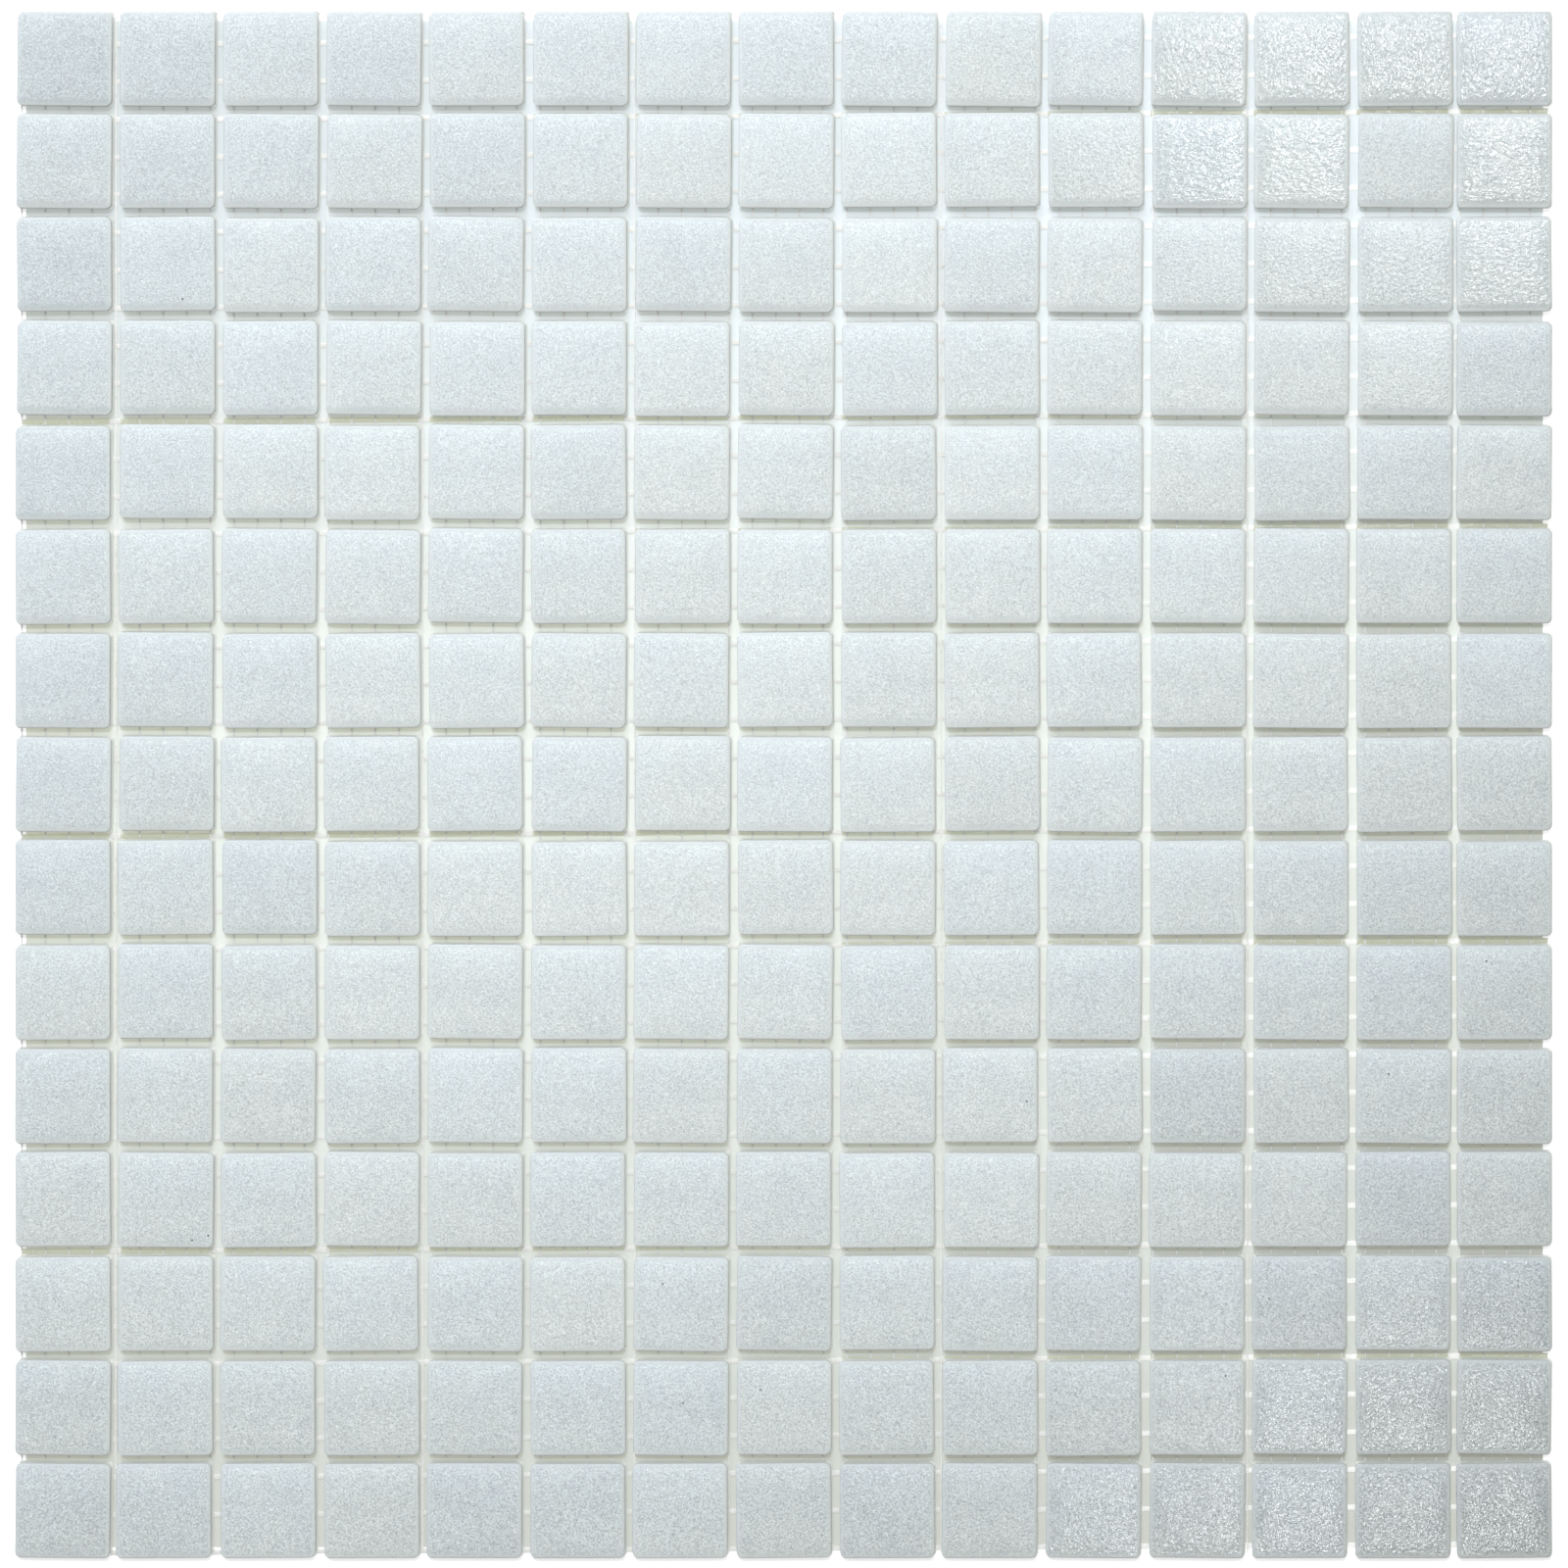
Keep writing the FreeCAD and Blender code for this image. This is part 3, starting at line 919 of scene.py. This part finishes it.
# Painted shade: the darker paper between rows, towards the right but not near the top, and in the upper
# right part only in the half of the joint next to the tile above
RIGHT_SHADE = (-0.03, 0.11, 0.0, 0.25)
BELOW_TOP = (0.06, 0.12, 1.0, 0.0)
NEXT_ABOVE_SHADE = (0.49, 0.53, 0.0, 0.13)
UPPER_RIGHT_X = (-0.05, 0.05)
UPPER_RIGHT_Y = (-0.05, 0.08)


def between_rows(tree, across, along):
    """The share of light that the paper keeps in the painted shade between rows."""
    deeper = times(tree, spread(tree, across, *RIGHT_SHADE), spread(tree, along, *BELOW_TOP))
    next_above = spread(tree, pitch_part(tree, along, ROW_PITCH), *NEXT_ABOVE_SHADE)
    upper_right = times(tree, spread(tree, across, *UPPER_RIGHT_X), spread(tree, along, *UPPER_RIGHT_Y))
    deeper = plus(tree, deeper, times(tree, next_above, upper_right))
    return minus(tree, 1.0, times(tree, row_joint(tree, across, along), deeper))


def studio_floor():
    """A white floor that keeps the sheet's shadow: its own light only lifts it to white for the eye. Under
    the sheet it is paper with painted shade and a painted glow.
    """
    material, tree, surface, place = new_material("studio_floor")
    # Under the sheet, as far in as its joints are open at their ends, the floor is greyish paper, with
    # painted shade and a painted glow
    across, along, _ = split(tree, place)
    past_x = minus(tree, calculate(tree, "ABSOLUTE", across), cad_bounds[1].x - PAPER_INSET)
    past_y = minus(tree, calculate(tree, "ABSOLUTE", along), cad_bounds[1].y - PAPER_INSET)
    open_floor = calculate(tree, "GREATER_THAN", larger(tree, past_x, past_y), 0.0)
    upper_left = spread(tree, minus(tree, along, across), *PAPER_UPPER_LEFT)
    shade = between_rows(tree, across, along)
    # Painted shade: the paper darker towards the sheet's bottom, in its upper left, and between rows
    paper = blend(tree, spread(tree, along, cad_bounds[0].y, 0.0), SHADED_PAPER_BOTTOM, PAPER_TOP)
    paper = brighten(tree, paper, spread(tree, upper_left, *PAPER_UPPER_LEFT_SHADE))
    paper = brighten(tree, paper, shade)
    connect(tree, blend(tree, open_floor, paper, FLOOR_WHITE), surface.inputs["Base Color"])
    surface.inputs["Roughness"].default_value = FLOOR_ROUGHNESS
    surface.inputs["Specular IOR Level"].default_value = 0.0
    path = add_node(tree, "ShaderNodeLightPath")
    seen = larger(tree, path.outputs["Is Camera Ray"], path.outputs["Is Glossy Ray"])
    seen = larger(tree, seen, path.outputs["Is Transmission Ray"])
    # Painted light: the paper's glow, coloured along the sheet
    glow = blend(tree, spread(tree, along, *TO_TOP_GLOW), MIDDLE_GLOW, TOP_GLOW)
    glow = blend(tree, spread(tree, along, *TO_MIDDLE_GLOW), LOWER_GLOW, glow)
    connect(tree, blend(tree, open_floor, glow, WHITE), surface.inputs["Emission Color"])
    paper_lift = spread(tree, upper_left, 0.0, 1.0, PAPER_LIFT, PAPER_UPPER_LEFT_LIFT * PAPER_LIFT)
    lift = larger(tree, times(tree, paper_lift, shade), times(tree, open_floor, FLOOR_LIFT))
    connect(tree, times(tree, seen, lift), surface.inputs["Emission Strength"])
    return material


def build_floor():
    """A plain plane under the sheet."""
    corners = [(-1, -1), (1, -1), (1, 1), (-1, 1)]
    points = np.array([(x * FLOOR_REACH, y * FLOOR_REACH, -FLOOR_GAP) for x, y in corners])
    floor = mesh_object("floor", points, np.array([[0, 1, 2, 3]]))
    floor.data.materials.append(studio_floor())


def build_world():
    """A soft white dome, which the eye sees as plain white."""
    world = bpy.data.worlds.new("studio")
    world.use_nodes = True
    tree = world.node_tree
    tree.nodes.clear()
    path = add_node(tree, "ShaderNodeLightPath")
    seen = add_node(tree, "ShaderNodeBackground", {"Color": WHITE, "Strength": 1.0})
    dome = add_node(tree, "ShaderNodeBackground", {"Color": WHITE, "Strength": DOME_STRENGTH})
    shaders = {0: path.outputs["Is Camera Ray"], 1: dome.outputs[0], 2: seen.outputs[0]}
    either = add_node(tree, "ShaderNodeMixShader", shaders)
    output = tree.nodes.new("ShaderNodeOutputWorld")
    tree.links.new(either.outputs[0], output.inputs["Surface"])
    bpy.context.scene.world = world


def build_lamps():
    """A few soft square lamps, all aimed at the middle of the sheet."""
    for name, (place, size, power, part) in LAMPS.items():
        lamp = bpy.data.lights.new(name, "AREA")
        lamp.shape = "SQUARE"
        lamp.size = size
        lamp.energy = power
        holder = bpy.data.objects.new(name, lamp)
        holder.location = place
        holder.rotation_euler = (-Vector(place)).to_track_quat("-Z", "Y").to_euler()
        holder.visible_camera = False
        holder.visible_diffuse = part != "glossy"
        holder.visible_glossy = part != "diffuse"
        bpy.context.scene.collection.objects.link(holder)


def build_camera():
    """A camera straight above the middle of the sheet, with the top of its frame towards +Y."""
    data = bpy.data.cameras.new("camera")
    data.sensor_width = SENSOR_WIDTH
    data.lens = SENSOR_WIDTH * (CAMERA_HEIGHT - cad_bounds[1].z) / FRAME_SPAN
    data.clip_start = CLIP_START
    camera = bpy.data.objects.new("camera", data)
    camera.location = (CAMERA_OFFSET, 0, CAMERA_HEIGHT)
    bpy.context.scene.collection.objects.link(camera)
    bpy.context.scene.camera = camera


def build_sheet():
    """Every tile and yarn."""
    random = np.random.default_rng(SEED)
    glass = tile_glass()
    for number in range(1, ROWS + 1):
        tile_row(number, glass, random)
    yarns("weft_yarns", yarn_fibre("weft_fibre", 0), random, **WEFTS)
    yarns("warp_yarns", yarn_fibre("warp_fibre", 1), random, **WARPS)


build_sheet()
build_floor()
build_world()
build_lamps()
build_camera()
bpy.context.scene.view_settings.view_transform = "Standard"
